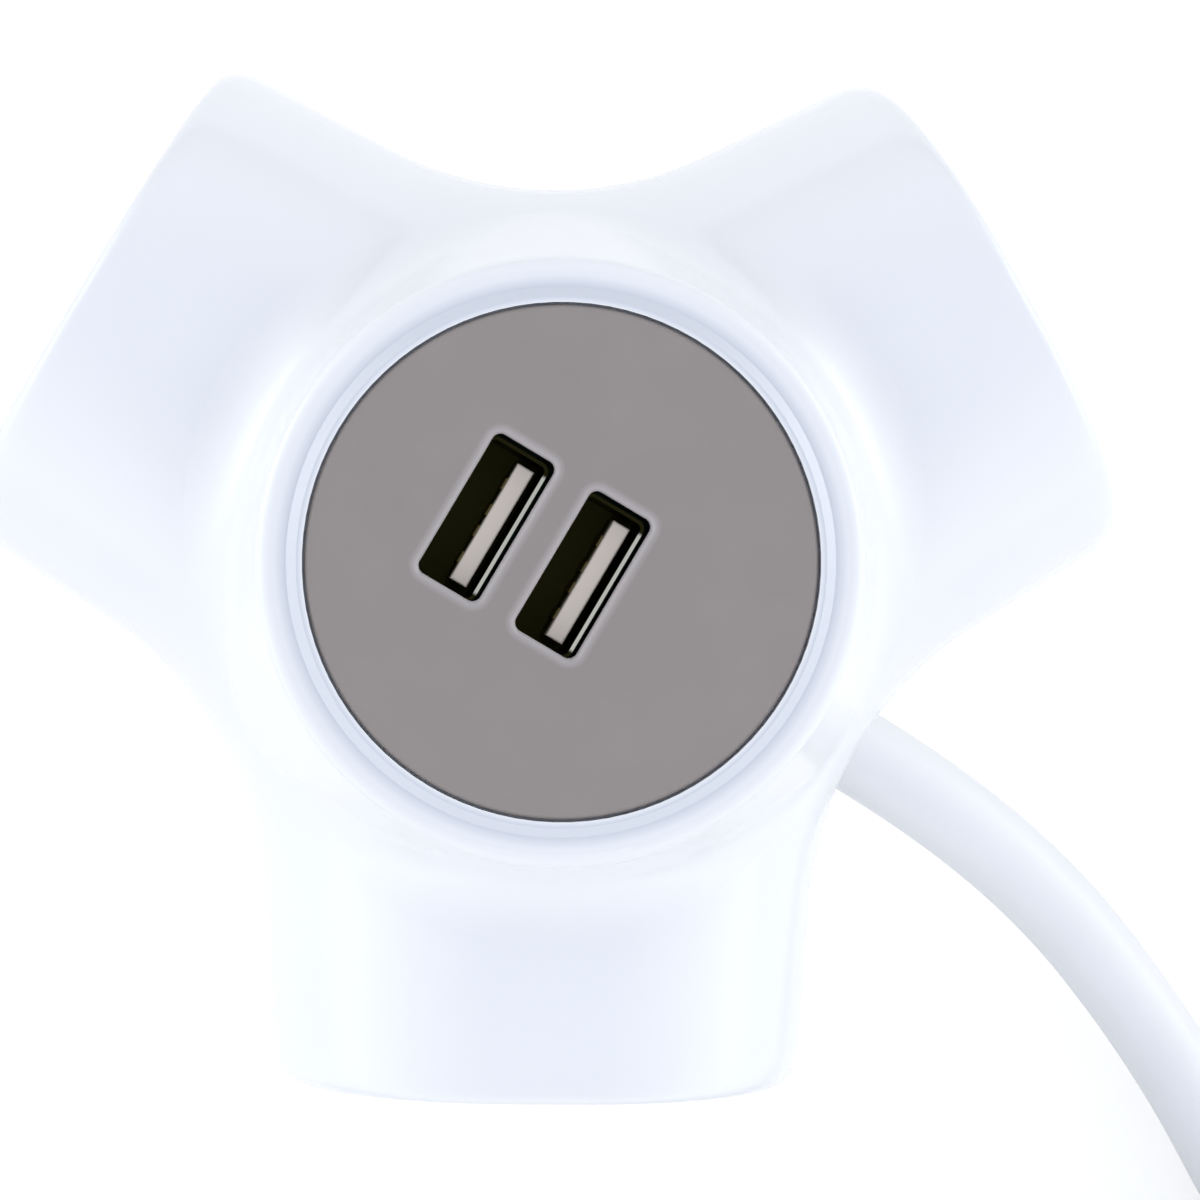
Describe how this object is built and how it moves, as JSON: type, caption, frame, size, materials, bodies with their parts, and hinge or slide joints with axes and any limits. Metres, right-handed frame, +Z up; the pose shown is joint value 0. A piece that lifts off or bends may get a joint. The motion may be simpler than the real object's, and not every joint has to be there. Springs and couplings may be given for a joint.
{
  "type": "multi-socket adapter",
  "caption": "White star-shaped desk outlet block with an earthed round socket on each arm end, a raised hub with a grey USB charging plate, and a coiled mains lead with its plug.",
  "frame": {"origin": "on the hub's axis at the table, at the underside of the base pad", "axes": "+Z up; +Y towards the valley that the lead leaves by; +X to the right, along the long side of the USB ports"},
  "size_m": [0.1856, 0.1968, 0.0541],
  "materials": {
    "housing_white": "gloss white moulding",
    "insert_white": "satin white moulding",
    "plate_grey": "satin warm grey",
    "pad_rubber": "matt dark grey rubber",
    "cord_white": "smooth white sheath",
    "plug_white": "smooth white moulding",
    "port_steel": "plain plated sheet",
    "screw_steel": "zinc plated",
    "pin_nickel": "bright nickel",
    "bar_brass": "bright stamped brass",
    "contact_gilt": "gilt",
    "insulator_white": "matt off-white moulding",
    "insulator_grey": "matt grey moulding",
    "board_green": "green solder resist",
    "core_dark": "dark ferrite with taped winding",
    "can_aluminium": "sleeved can",
    "wire_brown": "brown insulation",
    "wire_blue": "blue insulation",
    "wire_green_yellow": "green and yellow insulation",
    "tie_fabric": "woven white hook band"
  },
  "bodies": {
    "root": {"upper_housing": "housing_white", "lower_housing": "housing_white", "base_pad": "pad_rubber", "housing_screws": "screw_steel", "live_busbar": "bar_brass", "neutral_busbar": "bar_brass", "earth_busbar": "bar_brass", "bus_spacer_lower": "insulator_grey", "bus_spacer_upper": "insulator_grey", "bus_cover": "insulator_grey", "bus_screw": "screw_steel", "live_lead": "wire_brown", "neutral_lead": "wire_blue", "usb_plate": "plate_grey", "usb_board": "board_green", "board_screws": "screw_steel", "transformer": "core_dark", "input_capacitor": "can_aluminium", "output_capacitor": "can_aluminium", "live_wire": "wire_brown", "neutral_wire": "wire_blue", "earth_wire": "wire_green_yellow", "cord_grommet": "cord_white", "cord_clamp": "insulator_grey", "clamp_screws": "screw_steel", "cord": "cord_white", "cord_coil": "cord_white", "cord_tie": "tie_fabric", "cord_tail": "cord_white", "plug_body": "plug_white", "plug_pins": "pin_nickel", "plug_earth_contacts": "bar_brass", "socket_insert_front": "insert_white", "earth_strap_front": "bar_brass", "socket_insert_right": "insert_white", "earth_strap_right": "bar_brass", "socket_insert_left": "insert_white", "earth_strap_left": "bar_brass", "usb_shell_front": "port_steel", "usb_tongue_front": "insulator_white", "usb_contacts_front": "contact_gilt", "usb_shell_rear": "port_steel", "usb_tongue_rear": "insulator_white", "usb_contacts_rear": "contact_gilt"}
  },
  "joints": []
}
